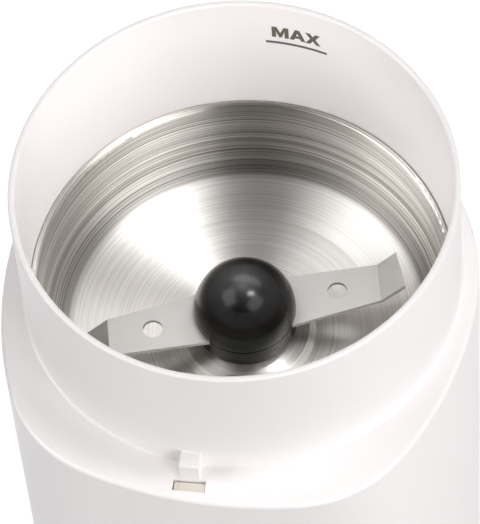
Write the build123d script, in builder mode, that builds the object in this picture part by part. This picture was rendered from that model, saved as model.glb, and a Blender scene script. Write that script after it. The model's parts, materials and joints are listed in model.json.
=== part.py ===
from build123d import *
import os
from math import atan2, cos, degrees, hypot, radians, sin, sqrt

# Electric blade coffee grinder without its lid.
# Millimetres, +Z up, front at -Y. The origin lies on the table, under the spindle.

os.makedirs("parts", exist_ok=True)

# Fits and cuts
overrun = 1.0  # how far a cut runs past the face that it opens
seat_gap = 0.05  # radial, between fixed pieces that locate each other
run_gap = 0.05  # radial, between the shaft and its bearings and seal
slide_gap = 0.2  # each side of the plunger in its slot
button_gap = 0.4  # round the push button
touch_gap = 0.3  # between a switch lever and what presses it
root_share = 0.5  # how deep a web is rooted in a wall, of that wall

# Body shell
rim_height = 140.0  # table to the collar's rim
ledge_drop = 30.5  # rim to the ledge round the collar
side_radius = 74.0  # side arcs, which leave the rear half circle smoothly
front_radius = 81.0
corner_radius = 25.5  # between side and front
shell_wall = 1.5
ledge_thickness = 2.0
ledge_rounding = 0.8
collar_radius = 40.2  # outside
collar_wall = 1.2
rear_ledge = 3.25  # width of the ledge behind the collar
front_ledge = 7.55  # and in front of it
rim_rounding = 0.5
crease_radius = 0.5  # where the collar meets the ledge
rib_width = 3.6
rib_height = 4.3
rib_rounding = 0.3
slot_inset = 4.4  # collar to the middle of the slot
slot_width = 5.9
slot_depth = 2.5
slot_turn = 5.0  # degrees, how the slot and the rib stand across the ledge

# Steel bowl and its seat
bowl_radius = 37.5  # inside
bowl_sheet = 0.5
bowl_depth = 19.1  # lip to floor
floor_radius = 25.0  # flat part of the floor
floor_edge = 32.4  # where the rising edge of the floor meets the wall
floor_edge_rise = 1.9
wall_rise = 10.6  # floor to the straight part of the wall
lip_drop = 0.4  # ledge to lip
lip_roll = 1.0
lip_gap = 0.2  # between lip and collar
boss_radius = 11.8  # raised middle of the floor
boss_rise = 1.0
boss_step = 1.2
stud_reach = 21.0  # spindle to each welded stud
stud_radius = 1.6
stud_count = 3
stud_start = 60.0
bowl_clearance = 0.3  # between the bowl and its seat
seat_depth = 4.4
gasket_thickness = 0.8

# Spindle and blade
shaft_radius = 2.5
shaft_flat = 2.0  # spindle axis to each flat of the drive end
shaft_end_drop = 5.0  # top of the cap to the end of the shaft
shaft_foot = 12.0  # table to the lower end
hub_radius = 9.5
cap_wall = 0.65  # straight foot of the cap, under its dome
cap_edge = 0.25
seat_skirt = 3.1  # height of the black skirt under the blade
blade_rise = 6.9  # bowl's floor to the middle of the blade
blade_thickness = 0.8
blade_turn = 16.9  # degrees, how the blade stands at rest
blade_back = 5.9  # axis to the leading edge of an arm, at the middle
blade_end_back = 7.2  # the same at the end of the tip
blade_root = 6.1  # axis to the slanting edge, at the middle
blade_end_edge = 0.75  # the same at the bend
bend_reach = 25.5  # axis to the bend of a tip
tip_reach = 29.9  # axis to the end of a tip
tip_cutback = 1.0  # how much shorter the tip is along the leading edge
tip_angle = 45.0
blade_hole_radius = 1.85
blade_hole_reach = 17.4
blade_hole_side = 2.2

# Shaft seal
seal_radius = 5.4
seal_flange_radius = 8.0
seal_flange = 1.4

# Motor carrier
carrier_standoff = 4.5  # under the bowl's floor
carrier_thickness = 3.0
carrier_gap = 0.4  # between the carrier and the shell
carrier_front = 34.6  # spindle to its straight front edge
carrier_hole = 14.0
support_radius = 24.4  # ring that bears on the bowl's floor
support_wall = 2.0
stud_boss_radius = 3.6
lug_gap = 0.5  # between the shell's lugs and the bowl's floor
boss_inset = 3.6  # shell's inner face to a screw's axis
lug_radius = 3.4
pilot_wall = 0.6  # left above a pilot hole
front_boss_angle = 18.5  # degrees along the side arc
rear_boss_angle = 57.0  # degrees from the side

# Fasteners
screw_radius = 1.5
screw_hole_radius = 1.7
screw_head_radius = 2.8
screw_head_height = 1.8
bolt_radius = 1.6
bolt_hole_radius = 1.7
bolt_head_radius = 3.0
bolt_head_height = 2.5
nut_radius = 3.2
nut_height = 2.6
thread_end = 0.8  # how far a bolt or stud stands out of its nut

# Motor
bolt_reach = 18.6  # spindle to each long bolt
bush_radius = 4.5
bush_height = 3.0
strap_width = 14.0
strap_thickness = 3.0
leg_radius = 3.3
cup_radius = 7.5
cup_floor = 1.0
bearing_radius = 5.0
bearing_height = 7.0
bearing_rounding = 0.8
shaft_opening = 3.2  # radius of a plain hole that the shaft passes
stator_height = 20.0
stator_width = 54.0
stator_depth = 42.0
stator_corner = 8.0
slot_space_width = 45.0  # inside of the yoke
slot_space_depth = 32.0
slot_space_corner = 4.0
pole_neck = 13.0
pole_shoe_radius = 15.8
pole_shoe_half = 12.4
air_gap = 0.5
coil_shoe_gap = 0.4  # pole shoe to the near side of a field coil
coil_yoke_gap = 0.7  # far side of a field coil to the yoke
coil_bundle = 5.0
coil_gap = 0.3
coil_corner = 4.0
armature_radius = 13.0
armature_slots = 12
armature_slot_reach = 10.6
armature_slot_radius = 1.6
armature_slot_mouth = 1.2
winding_gap = 0.1
winding_bulge = 5.0
winding_radius = 12.2
winding_inner = 4.2
winding_rounding = 2.2
fan_radius = 14.5
fan_gap = 1.0  # between the fan and the upper bracket
fan_height = 6.2
fan_disc = 1.2
fan_hub_radius = 5.0
fan_blades = 9
fan_blade_thickness = 1.0
fan_blade_lean = 25.0
commutator_radius = 8.0
commutator_length = 10.0
commutator_riser = 2.0
commutator_riser_radius = 9.2
commutator_slit = 0.5
commutator_slit_depth = 1.0
commutator_gap = 1.0  # below the winding
lower_bracket_drop = 9.0  # commutator to the bracket's cup
cross_length = 48.0
cross_width = 10.0

# Brushes
brush_width = 5.2
brush_height = 6.8
brush_length = 8.0
brush_slack = 0.1
holder_wall = 0.7
holder_length = 15.0
holder_gap = 1.2  # between a holder and the commutator
post_length = 9.0
post_width = 8.0
brush_coil_radius = 1.9
brush_wire_radius = 0.2
brush_coil_turns = 4

# Interlock plunger
plunger_travel = 3.0
plunger_drop = 1.0  # its top below the ledge
shoulder_half = 5.0
shoulder_height = 2.7
plunger_foot_height = 3.4
plunger_foot_reach = 38.2  # spindle to the inner end of its foot
arm_height = 3.0
arm_drop = 7.0  # ledge's underside to the top of its spring arm
arm_end = 9.2
peg_radius = 1.2
peg_length = 2.0
spring_side = 7.0  # middle plane to the springs of plunger and button
spring_inset = 2.2  # slot's middle to the plunger's spring
spring_edge = 2.4  # arm and table past the middle of that spring
plunger_coil_radius = 1.75
plunger_wire_radius = 0.22
plunger_coil_turns = 5

# Push button
button_height = 58.0  # table to its middle
button_width = 22.0
button_tall = 16.0
button_proud = 1.6
button_rounding = 1.2
button_travel = 3.0
dish_radius = 45.0
dish_depth = 0.5
flange_margin = 1.5
flange_thickness = 1.4
flange_gap = 1.45  # flange to the shell at the middle
guide_wall = 1.4
guide_reach = 40.0  # spindle to the guide's inner end
button_peg = 1.2  # length of the pegs at both ends of its spring
button_coil_radius = 1.75
button_wire_radius = 0.22
button_coil_turns = 3

# Snap switches
switch_length = 19.8
switch_tall = 10.2
switch_thickness = 6.4
switch_overhang = 2.9  # body past the point that is pressed
contact_arm = 14.0  # lever's pivot to the point that is pressed
pin_arm = 6.0  # lever's pivot to the switch's pin
pivot_rise = 1.0
lever_thickness = 0.4
lever_width = 4.0
lever_tail = 2.2  # lever past the point that is pressed
barrel_radius = 0.6
ear_half = 1.1
ear_height = 1.9
ear_gap = 0.3
nose_radius = 2.0
pin_radius = 0.75
pin_rise = 1.65
pin_length = 4.0
pin_gap = 0.08
locating_radius = 1.1
locating_first = 2.2
locating_pitch = 9.5
locating_depth = 7.4
terminal_pitch = 6.0
terminal_first = 1.0
terminal_count = 3
terminal_thickness = 0.5
terminal_width = 2.8
terminal_length = 2.2

# Switch bracket
bracket_reach = 36.8  # spindle to its front face
bracket_thickness = 1.6
bracket_left = 12.0
bracket_right = 20.0
bracket_foot = 3.0  # below the power switch
safety_drop = 2.0  # carrier's top to the top of the safety switch
power_reach = 35.0  # spindle to the front of the power switch
window_gap = 0.4
tower_end = 4.0
tower_rise = 3.6  # spring table above the top of the bracket
table_thickness = 2.0
table_half = 2.6
tab_reach = 27.0
bracket_screw_reach = 30.5
bracket_screw_side = 9.0

# Base
foot_stand = 2.0  # table to the cover's underside
cover_thickness = 3.0
cover_rounding = 1.0
spigot_gap = 0.2
spigot_wall = 1.6
spigot_height = 4.0
pillar_radius = 4.6
base_boss_height = 16.0
base_boss_gap = 0.2
head_recess = 2.4
head_recess_radius = 3.2
foot_radius = 5.0
foot_socket = 1.2
foot_rounding = 0.8
foot_rear_inset = 9.0
foot_rear_angle = 30.0
foot_front_side = 24.0
foot_front_inset = 13.75
vent_count = 7
vent_pitch = 5.0
vent_length = 26.0
vent_width = 2.2

# Cord inlet and capacitor
inlet_height = 17.0
inlet_proud = 5.9  # how far it stands out of the rear wall
inlet_neck = 4.5
inlet_bore = 3.2
inlet_collar = 7.0
inlet_tip = 5.6
inlet_flange = 6.3
inlet_flange_thickness = 2.0
capacitor_width = 18.0
capacitor_depth = 7.0
capacitor_height = 12.0
capacitor_rounding = 0.8
capacitor_inset = 12.8  # rear of the body to the middle of the capacitor
clip_wall = 1.2
clip_height = 5.0

# Heights and places that follow from the sizes above
rear_radius = collar_radius + rear_ledge
front_reach = collar_radius + front_ledge
slot_reach = collar_radius + slot_inset
spring_reach = slot_reach - spring_inset
arm_inner = spring_reach - spring_edge
table_reach = spring_reach + spring_edge
coil_near = pole_shoe_radius + coil_shoe_gap
coil_thickness = slot_space_width / 2 - coil_yoke_gap - coil_near
ledge_height = rim_height - ledge_drop
ledge_underside = ledge_height - ledge_thickness
shell_foot = foot_stand + cover_thickness
bore_radius = collar_radius - collar_wall
lip_height = ledge_height - lip_drop
lip_radius = bore_radius - lip_gap
floor_height = lip_height - bowl_depth
bowl_underside = floor_height - bowl_sheet
bowl_outside = bowl_radius + bowl_sheet
seat_radius = bowl_outside + bowl_clearance
seat_top = lip_height - bowl_sheet - seat_gap - gasket_thickness
carrier_top = bowl_underside - carrier_standoff
carrier_bottom = carrier_top - carrier_thickness
strap_top = carrier_bottom - bush_height
strap_bottom = strap_top - strap_thickness
fan_top = strap_bottom - fan_gap
fan_bottom = fan_top - fan_height
stator_top = fan_bottom - winding_bulge - 2 * fan_gap
stator_bottom = stator_top - stator_height
winding_top = stator_top + winding_bulge
winding_bottom = stator_bottom - winding_bulge
commutator_top = winding_bottom - commutator_gap
commutator_bottom = commutator_top - commutator_length - commutator_riser
brush_level = commutator_bottom + commutator_length / 2
lower_plate_top = commutator_bottom - lower_bracket_drop + strap_thickness
lower_plate_bottom = lower_plate_top - strap_thickness
lower_cup_top = lower_plate_bottom + cup_floor + bearing_height / 2 + strap_thickness
lower_cup_bottom = lower_cup_top - bearing_height - cup_floor
blade_height = floor_height + blade_rise
blade_top = blade_height + blade_thickness / 2
blade_bottom = blade_height - blade_thickness / 2
dome_height = blade_top + cap_wall
cap_top = dome_height + hub_radius
skirt_bottom = blade_bottom - seat_skirt
shaft_top = cap_top - shaft_end_drop
shaft_hole = shaft_radius + run_gap
inner_front = front_reach - shell_wall
safety_top = carrier_top - safety_drop
bracket_back = bracket_reach - bracket_thickness
lever_slope = degrees(atan2(plunger_travel, contact_arm))
contact_rise = pivot_rise + (
    (nose_radius + lever_thickness / 2 + touch_gap) / cos(radians(lever_slope))
    + contact_arm * sin(radians(lever_slope)) / cos(radians(lever_slope))
)
plunger_nose = safety_top + contact_rise
button_nose = power_reach + contact_rise
flange_front = inner_front - flange_gap
flange_back = flange_front - flange_thickness
arm_top = ledge_underside - arm_drop
arm_bottom = arm_top - arm_height
table_top = safety_top + tower_rise
inlet_reach = rear_radius + inlet_proud

# Screw places: two on the side arcs in front, two on the half circle behind
side_offset = side_radius - rear_radius
front_boss_radius = side_radius - shell_wall - boss_inset
rear_boss_radius = rear_radius - shell_wall - boss_inset
front_boss_x = front_boss_radius * cos(radians(front_boss_angle)) - side_offset
front_boss_y = -front_boss_radius * sin(radians(front_boss_angle))
rear_boss_x = rear_boss_radius * cos(radians(rear_boss_angle))
rear_boss_y = rear_boss_radius * sin(radians(rear_boss_angle))
boss_places = [
    (front_boss_x, front_boss_y),
    (-front_boss_x, front_boss_y),
    (rear_boss_x, rear_boss_y),
    (-rear_boss_x, rear_boss_y),
]
foot_rear_radius = rear_radius - foot_rear_inset
foot_rear_x = foot_rear_radius * cos(radians(foot_rear_angle))
foot_rear_y = foot_rear_radius * sin(radians(foot_rear_angle))
foot_front_y = foot_front_inset - front_reach
foot_places = [
    (foot_front_side, foot_front_y),
    (-foot_front_side, foot_front_y),
    (foot_rear_x, foot_rear_y),
    (-foot_rear_x, foot_rear_y),
]
bolt_places = [(0, bolt_reach), (0, -bolt_reach)]
slot_place = Location((0, -slot_reach, 0), (0, 0, slot_turn))
tab_middle = (bracket_right - bracket_left) / 2
bracket_screw_places = [
    (tab_middle - bracket_screw_side, -bracket_screw_reach),
    (tab_middle + bracket_screw_side, -bracket_screw_reach),
]


def body_outline(inset):
    """Plan of the body, taken in all round: rear half circle, two side arcs, front arc, round corners."""
    rear = rear_radius - inset
    side = side_radius - inset
    front = front_radius - inset
    front_offset = front_radius - front_reach
    span = hypot(side_offset, front_offset)
    along = (side**2 - front**2 + span**2) / (2 * span)
    across = sqrt(side**2 - along**2)
    corner_x = (along * side_offset + across * front_offset) / span - side_offset
    corner_y = (across * side_offset - along * front_offset) / span
    side_angle = degrees(atan2(corner_y, corner_x + side_offset))
    front_angle = degrees(atan2(corner_x, corner_y + front_offset))
    with BuildSketch() as outline:
        with BuildLine():
            CenterArc((0, 0), rear, 0, 180)
            CenterArc((side_offset, 0), side, 180, side_angle)
            CenterArc((0, front_offset), front, 270 - front_angle, 2 * front_angle)
            CenterArc((-side_offset, 0), side, -side_angle, side_angle)
        make_face()
        fillet(outline.vertices().group_by(Axis.Y)[0], radius=corner_radius - inset)
    return outline.sketch


def wall_bosses(radius):
    """Round bosses at the screw places, each joined to the shell's wall by a web."""
    with BuildSketch() as bosses:
        for x, y in boss_places:
            with Locations(Location((x, y, 0), (0, 0, degrees(atan2(y, x))))):
                Circle(radius)
                Rectangle(rear_radius, 2 * radius, align=(Align.MIN, Align.CENTER))
        add(body_outline(shell_wall * root_share), mode=Mode.INTERSECT)
    return bosses.sketch


def front_plane(reach, height):
    """Upright plane at a reach in front of the spindle, facing the front."""
    return Plane(origin=(0, -reach, height), x_dir=(1, 0, 0), z_dir=(0, -1, 0))


def coil_spring(seat, coil_radius, wire_radius, length, turns):
    """Open coil spring that stands on a plane, wound as half turns of a helix."""
    rise = (length - 2 * wire_radius) / (2 * turns)
    with BuildPart() as spring:
        with BuildLine(seat) as path:
            for half in range(2 * turns):
                start = coil_radius * (-1) ** half
                low = wire_radius + half * rise
                ThreePointArc((start, 0, low), (0, start, low + rise / 2), (-start, 0, low + rise))
        with BuildSketch(Plane(origin=path.line @ 0, z_dir=path.line % 0)):
            Circle(wire_radius)
        sweep()
    return spring.part


# Housing shell: wall, ledge and collar in one moulding, open at the bottom
with BuildPart() as housing_shell:
    with BuildSketch(Plane.XY.offset(shell_foot)):
        add(body_outline(0))
    extrude(amount=ledge_height - shell_foot)
    fillet(housing_shell.edges().group_by(Axis.Z)[-1], radius=ledge_rounding)
    with BuildSketch(Plane.XY.offset(ledge_height)):
        Circle(collar_radius)
    extrude(amount=ledge_drop)
    crease = housing_shell.edges().filter_by_position(Axis.Z, ledge_height, ledge_height)
    fillet(crease.sort_by(SortBy.LENGTH)[-1], radius=crease_radius)
    # Hollow of the body, with the ring that seats the bowl
    with BuildSketch(Plane.XY.offset(shell_foot)):
        add(body_outline(shell_wall))
    extrude(amount=ledge_underside - shell_foot, mode=Mode.SUBTRACT)
    with BuildSketch(Plane.XY.offset(ledge_underside - seat_depth)):
        Circle(collar_radius)
    extrude(amount=seat_depth)
    with BuildSketch(Plane.XY.offset(ledge_underside - seat_depth)):
        Circle(seat_radius)
    extrude(amount=rim_height, mode=Mode.SUBTRACT)
    with BuildSketch(Plane.XY.offset(seat_top)):
        Circle(bore_radius)
    extrude(amount=rim_height, mode=Mode.SUBTRACT)
    fillet(housing_shell.edges().group_by(Axis.Z)[-1], radius=rim_rounding)
    # Rib on the collar and slot in front of it
    rib_length = slot_inset - slot_depth / 2 + collar_wall * root_share
    rib_top = ledge_height + rib_height
    with BuildSketch(Plane.XY.offset(ledge_height)):
        with Locations(slot_place):
            with Locations((0, slot_depth / 2)):
                Rectangle(rib_width, rib_length, align=(Align.CENTER, Align.MIN))
    extrude(amount=rib_height)
    fillet(housing_shell.edges().filter_by_position(Axis.Z, rib_top, rib_top), radius=rib_rounding)
    with BuildSketch(Plane.XY.offset(ledge_underside - overrun)):
        with Locations(slot_place):
            Rectangle(slot_width, slot_depth)
    extrude(amount=ledge_thickness + 2 * overrun, mode=Mode.SUBTRACT)
    # Guide and opening of the push button
    guide_half = button_width / 2 + flange_margin + button_gap + guide_wall
    guide_root = front_reach - front_radius + sqrt(front_radius**2 - guide_half**2)
    with BuildSketch(front_plane(guide_reach, button_height)):
        SlotOverall(2 * guide_half, button_tall - button_width + 2 * guide_half)
        SlotOverall(
            2 * (guide_half - guide_wall),
            button_tall - button_width + 2 * (guide_half - guide_wall),
            mode=Mode.SUBTRACT,
        )
    extrude(amount=guide_root - shell_wall * root_share - guide_reach)
    with BuildSketch(front_plane(flange_front, button_height)):
        SlotOverall(button_width + 2 * button_gap, button_tall + 2 * button_gap)
    extrude(amount=button_width, mode=Mode.SUBTRACT)
    # Lugs for the motor carrier and bosses for the base screws
    lug_top = bowl_underside - lug_gap
    with BuildSketch(Plane.XY.offset(carrier_top)):
        add(wall_bosses(lug_radius))
    extrude(amount=lug_top - carrier_top)
    boss_foot = shell_foot + spigot_height + base_boss_gap
    with BuildSketch(Plane.XY.offset(boss_foot)):
        add(wall_bosses(lug_radius))
    extrude(amount=base_boss_height)
    with BuildSketch(Plane.XY.offset(carrier_top)):
        with Locations(*boss_places):
            Circle(screw_radius + seat_gap)
    extrude(amount=lug_top - carrier_top - pilot_wall, mode=Mode.SUBTRACT)
    with BuildSketch(Plane.XY.offset(boss_foot)):
        with Locations(*boss_places):
            Circle(screw_radius + seat_gap)
    extrude(amount=base_boss_height - pilot_wall, mode=Mode.SUBTRACT)
    # Opening for the cord inlet
    with BuildSketch(Plane.XZ.offset(-rear_radius - overrun)):
        with Locations((0, inlet_height)):
            Circle(inlet_neck + seat_gap)
    extrude(amount=shell_wall + 2 * overrun, mode=Mode.SUBTRACT)
housing_shell.part.label = "housing_shell"
export_step(housing_shell.part, "parts/housing_shell.step")

# Grinding bowl: drawn sheet with a raised middle, a rising edge, a rolled lip and three welded studs
with BuildPart() as grinding_bowl:
    with BuildSketch(Plane.XZ):
        with BuildLine() as sheet:
            Polyline(
                (seal_radius, floor_height + boss_rise),
                (boss_radius, floor_height + boss_rise),
                (boss_radius + boss_step, floor_height),
                (floor_radius, floor_height),
                (floor_edge, floor_height + floor_edge_rise),
            )
            TangentArc(
                (bowl_radius, floor_height + wall_rise),
                (floor_edge, floor_height + floor_edge_rise),
                tangent=(0, -1),
            )
            Line((bowl_radius, floor_height + wall_rise), (bowl_radius, lip_height - lip_roll))
            CenterArc((bowl_radius + lip_roll, lip_height - lip_roll), lip_roll, 180, -90)
            Line((bowl_radius + lip_roll, lip_height), (lip_radius, lip_height))
            offset(sheet.line, amount=bowl_sheet, side=Side.RIGHT, kind=Kind.INTERSECTION)
        make_face()
    revolve(axis=Axis.Z)
    stud_foot = carrier_bottom - nut_height - thread_end
    with BuildSketch(Plane.XY.offset(stud_foot)):
        with PolarLocations(stud_reach, stud_count, start_angle=stud_start):
            Circle(stud_radius)
    extrude(amount=bowl_underside + bowl_sheet * root_share - stud_foot)
grinding_bowl.part.label = "grinding_bowl"
export_step(grinding_bowl.part, "parts/grinding_bowl.step")

# Bowl gasket: flat ring on the seat, under the lip
with BuildPart() as bowl_gasket:
    with BuildSketch(Plane.XY.offset(seat_top)):
        Circle(bore_radius - seat_gap)
        Circle(seat_radius, mode=Mode.SUBTRACT)
    extrude(amount=gasket_thickness)
bowl_gasket.part.label = "bowl_gasket"
export_step(bowl_gasket.part, "parts/bowl_gasket.step")

# Shaft seal: grommet that grips the raised middle of the bowl's floor
with BuildPart() as shaft_seal:
    with BuildSketch(Plane.XY.offset(bowl_underside + boss_rise - seal_flange)):
        Circle(seal_flange_radius)
    extrude(amount=seal_flange)
    with BuildSketch(Plane.XY.offset(bowl_underside + boss_rise)):
        Circle(seal_radius)
    extrude(amount=bowl_sheet)
    with BuildSketch(Plane.XY.offset(floor_height + boss_rise)):
        Circle(seal_flange_radius)
    extrude(amount=seal_flange)
    chamfer(shaft_seal.edges().group_by(Axis.Z)[-1], length=seal_flange * root_share)
    with BuildSketch(Plane.XY.offset(bowl_underside + boss_rise - seal_flange)):
        Circle(shaft_hole)
    extrude(amount=2 * seal_flange + bowl_sheet, mode=Mode.SUBTRACT)
shaft_seal.part.label = "shaft_seal"
export_step(shaft_seal.part, "parts/shaft_seal.step")

# Motor carrier: plate under the bowl, with a ring and three bosses that bear on its floor
with BuildPart() as motor_carrier:
    with BuildSketch(Plane.XY.offset(carrier_bottom)):
        add(body_outline(shell_wall + carrier_gap))
        with Locations((0, -carrier_front)):
            Rectangle(2 * side_radius, front_reach, align=(Align.CENTER, Align.MAX), mode=Mode.SUBTRACT)
    extrude(amount=carrier_thickness)
    with BuildSketch(Plane.XY.offset(carrier_top)):
        Circle(support_radius)
        Circle(support_radius - support_wall, mode=Mode.SUBTRACT)
        with PolarLocations(stud_reach, stud_count, start_angle=stud_start):
            Circle(stud_boss_radius)
    extrude(amount=carrier_standoff)
    with BuildSketch(Plane.XY.offset(carrier_bottom)):
        Circle(carrier_hole)
        with PolarLocations(stud_reach, stud_count, start_angle=stud_start):
            Circle(stud_radius + seat_gap)
        with Locations(*boss_places):
            Circle(screw_hole_radius)
        with Locations(*bolt_places):
            Circle(bolt_hole_radius)
        with Locations(*bracket_screw_places):
            Circle(screw_radius + seat_gap)
    extrude(amount=carrier_thickness + carrier_standoff, mode=Mode.SUBTRACT)
motor_carrier.part.label = "motor_carrier"
export_step(motor_carrier.part, "parts/motor_carrier.step")

# Carrier screws, driven up into the shell's lugs
with BuildPart() as carrier_screws:
    with BuildSketch(Plane.XY.offset(carrier_bottom - screw_head_height)):
        with Locations(*boss_places):
            Circle(screw_head_radius)
    extrude(amount=screw_head_height)
    with BuildSketch(Plane.XY.offset(carrier_bottom)):
        with Locations(*boss_places):
            Circle(screw_radius)
    extrude(amount=lug_top - 2 * pilot_wall - carrier_bottom)
carrier_screws.part.label = "carrier_screws"
export_step(carrier_screws.part, "parts/carrier_screws.step")

# Bowl nuts, under the carrier on the welded studs
with BuildPart() as bowl_nuts:
    with BuildSketch(Plane.XY.offset(carrier_bottom - nut_height)):
        with PolarLocations(stud_reach, stud_count, start_angle=stud_start):
            RegularPolygon(nut_radius, 6)
            Circle(stud_radius + seat_gap, mode=Mode.SUBTRACT)
    extrude(amount=nut_height)
bowl_nuts.part.label = "bowl_nuts"
export_step(bowl_nuts.part, "parts/bowl_nuts.step")

# Rubber bushes between the motor and the carrier
with BuildPart() as mount_bushes:
    with BuildSketch(Plane.XY.offset(strap_top)):
        with Locations(*bolt_places):
            Circle(bush_radius)
            Circle(bolt_hole_radius, mode=Mode.SUBTRACT)
    extrude(amount=bush_height)
mount_bushes.part.label = "mount_bushes"
export_step(mount_bushes.part, "parts/mount_bushes.step")

# Long bolts through both brackets, the stator and the carrier
with BuildPart() as motor_bolts:
    with BuildSketch(Plane.XY.offset(lower_plate_bottom - bolt_head_height)):
        with Locations(*bolt_places):
            RegularPolygon(bolt_head_radius, 6)
    extrude(amount=bolt_head_height)
    with BuildSketch(Plane.XY.offset(lower_plate_bottom)):
        with Locations(*bolt_places):
            Circle(bolt_radius)
    extrude(amount=carrier_top + nut_height + thread_end - lower_plate_bottom)
motor_bolts.part.label = "motor_bolts"
export_step(motor_bolts.part, "parts/motor_bolts.step")

# Nuts of the long bolts, on top of the carrier
with BuildPart() as motor_nuts:
    with BuildSketch(Plane.XY.offset(carrier_top)):
        with Locations(*bolt_places):
            RegularPolygon(nut_radius, 6)
            Circle(bolt_radius + seat_gap, mode=Mode.SUBTRACT)
    extrude(amount=nut_height)
motor_nuts.part.label = "motor_nuts"
export_step(motor_nuts.part, "parts/motor_nuts.step")

# Upper bracket: strap with a bearing cup and two legs that stand on the stator
with BuildPart() as upper_bracket:
    with BuildSketch(Plane.XY.offset(strap_bottom)):
        SlotOverall(2 * (bolt_reach + strap_width / 2), strap_width, rotation=90)
    extrude(amount=strap_thickness)
    with BuildSketch(Plane.XY.offset(strap_bottom)):
        Circle(cup_radius)
    extrude(amount=cup_floor + bearing_height)
    with BuildSketch(Plane.XY.offset(stator_top)):
        with Locations(*bolt_places):
            Circle(leg_radius)
    extrude(amount=strap_bottom - stator_top)
    with BuildSketch(Plane.XY.offset(strap_bottom + cup_floor)):
        Circle(bearing_radius + seat_gap)
    extrude(amount=bearing_height, mode=Mode.SUBTRACT)
    with BuildSketch(Plane.XY.offset(strap_bottom)):
        Circle(shaft_opening)
    extrude(amount=cup_floor, mode=Mode.SUBTRACT)
    with BuildSketch(Plane.XY.offset(stator_top)):
        with Locations(*bolt_places):
            Circle(bolt_hole_radius)
    extrude(amount=strap_top - stator_top, mode=Mode.SUBTRACT)
upper_bracket.part.label = "upper_bracket"
export_step(upper_bracket.part, "parts/upper_bracket.step")

# Upper bearing: sintered sleeve in the upper cup
with BuildPart() as upper_bearing:
    with BuildSketch(Plane.XY.offset(strap_bottom + cup_floor)):
        Circle(bearing_radius)
        Circle(shaft_hole, mode=Mode.SUBTRACT)
    extrude(amount=bearing_height)
    rims = upper_bearing.edges().filter_by(GeomType.CIRCLE).sort_by(SortBy.RADIUS)[-2:]
    chamfer(rims, length=bearing_rounding)
upper_bearing.part.label = "upper_bearing"
export_step(upper_bearing.part, "parts/upper_bearing.step")

# Lower bracket: cross with a bearing cup, two legs under the stator and two brush posts
holder_near = commutator_radius + holder_gap
holder_tall = brush_height + 2 * (brush_slack + holder_wall)
holder_wide = brush_width + 2 * (brush_slack + holder_wall)
with BuildPart() as lower_bracket:
    with BuildSketch(Plane.XY.offset(lower_plate_bottom)):
        SlotOverall(2 * (bolt_reach + strap_width / 2), strap_width, rotation=90)
        SlotOverall(cross_length, cross_width)
    extrude(amount=strap_thickness)
    with BuildSketch(Plane.XY.offset(lower_cup_bottom)):
        Circle(cup_radius)
    extrude(amount=cup_floor + bearing_height)
    with BuildSketch(Plane.XY.offset(lower_plate_bottom)):
        with Locations(*bolt_places):
            Circle(leg_radius)
    extrude(amount=stator_bottom - lower_plate_bottom)
    with BuildSketch(Plane.XY.offset(lower_plate_bottom)):
        for side in (1, -1):
            with Locations((side * (holder_near + holder_length / 2), 0)):
                Rectangle(post_length, post_width)
    extrude(amount=brush_level - holder_tall / 2 - lower_plate_bottom)
    with BuildSketch(Plane.XY.offset(lower_cup_bottom + cup_floor)):
        Circle(bearing_radius + seat_gap)
    extrude(amount=bearing_height, mode=Mode.SUBTRACT)
    with BuildSketch(Plane.XY.offset(lower_cup_bottom)):
        Circle(shaft_opening)
    extrude(amount=cup_floor, mode=Mode.SUBTRACT)
    with BuildSketch(Plane.XY.offset(lower_plate_bottom)):
        with Locations(*bolt_places):
            Circle(bolt_hole_radius)
    extrude(amount=stator_bottom - lower_plate_bottom, mode=Mode.SUBTRACT)
lower_bracket.part.label = "lower_bracket"
export_step(lower_bracket.part, "parts/lower_bracket.step")

# Lower bearing: sintered sleeve in the lower cup
with BuildPart() as lower_bearing:
    with BuildSketch(Plane.XY.offset(lower_cup_bottom + cup_floor)):
        Circle(bearing_radius)
        Circle(shaft_hole, mode=Mode.SUBTRACT)
    extrude(amount=bearing_height)
    rims = lower_bearing.edges().filter_by(GeomType.CIRCLE).sort_by(SortBy.RADIUS)[-2:]
    chamfer(rims, length=bearing_rounding)
lower_bearing.part.label = "lower_bearing"
export_step(lower_bearing.part, "parts/lower_bearing.step")

# Stator core: yoke with two pole shoes round the armature
with BuildSketch() as pole_shoes:
    Circle(pole_shoe_radius)
    Rectangle(2 * pole_shoe_radius, 2 * pole_shoe_half, mode=Mode.INTERSECT)
with BuildPart() as stator_core:
    with BuildSketch(Plane.XY.offset(stator_bottom)):
        RectangleRounded(stator_width, stator_depth, stator_corner)
        RectangleRounded(slot_space_width, slot_space_depth, slot_space_corner, mode=Mode.SUBTRACT)
        Rectangle(slot_space_width, pole_neck)
        add(pole_shoes.sketch)
        Circle(armature_radius + air_gap, mode=Mode.SUBTRACT)
        with Locations(*bolt_places):
            Circle(bolt_hole_radius, mode=Mode.SUBTRACT)
    extrude(amount=stator_height)
stator_core.part.label = "stator_core"
export_step(stator_core.part, "parts/stator_core.step")

# Field coils: one wound ring round each pole's neck
with BuildPart() as field_coils:
    with BuildSketch(Plane.YZ.offset(coil_near)):
        with Locations((0, stator_bottom + stator_height / 2)):
            RectangleRounded(
                pole_neck + 2 * (coil_gap + coil_bundle),
                stator_height + 2 * (coil_gap + coil_bundle),
                coil_corner,
            )
            Rectangle(pole_neck + 2 * coil_gap, stator_height + 2 * coil_gap, mode=Mode.SUBTRACT)
    extrude(amount=coil_thickness)
    mirror(about=Plane.YZ)
field_coils.part.label = "field_coils"
export_step(field_coils.part, "parts/field_coils.step")

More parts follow.
